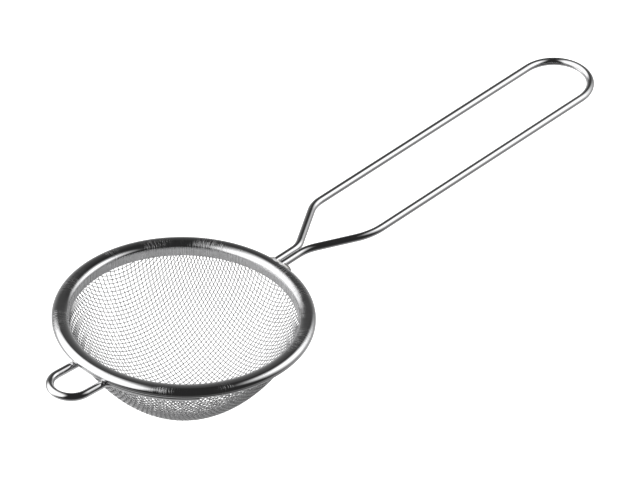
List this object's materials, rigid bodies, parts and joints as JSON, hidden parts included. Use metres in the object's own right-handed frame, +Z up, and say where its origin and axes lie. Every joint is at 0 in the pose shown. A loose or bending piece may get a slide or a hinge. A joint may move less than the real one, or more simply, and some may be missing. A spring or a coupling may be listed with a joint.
{
  "type": "wire mesh sifter",
  "caption": "Round fine-mesh wire sifter with a rolled rim, a long bent-wire loop handle and a front rest hook.",
  "frame": {"origin": "centre of the rim, level with the rim's top", "axes": "+X along the handle, -X towards the rest hook, +Z up out of the bowl's mouth"},
  "size_m": [0.2295, 0.08, 0.0451],
  "materials": {
    "rim_steel": "rolled and polished stainless strip with fine cross scratches",
    "wire_steel": "bright drawn stainless wire",
    "mesh_steel": "fine plain-woven stainless wire cloth",
    "weld_steel": "cleaned resistance weld"
  },
  "bodies": {
    "root": {"rim_band": "rim_steel", "core_hoop": "wire_steel", "mesh_bowl": "mesh_steel", "handle_wire": "wire_steel", "rest_hook": "wire_steel", "handle_weld": "weld_steel", "hook_welds": "weld_steel"}
  },
  "joints": []
}
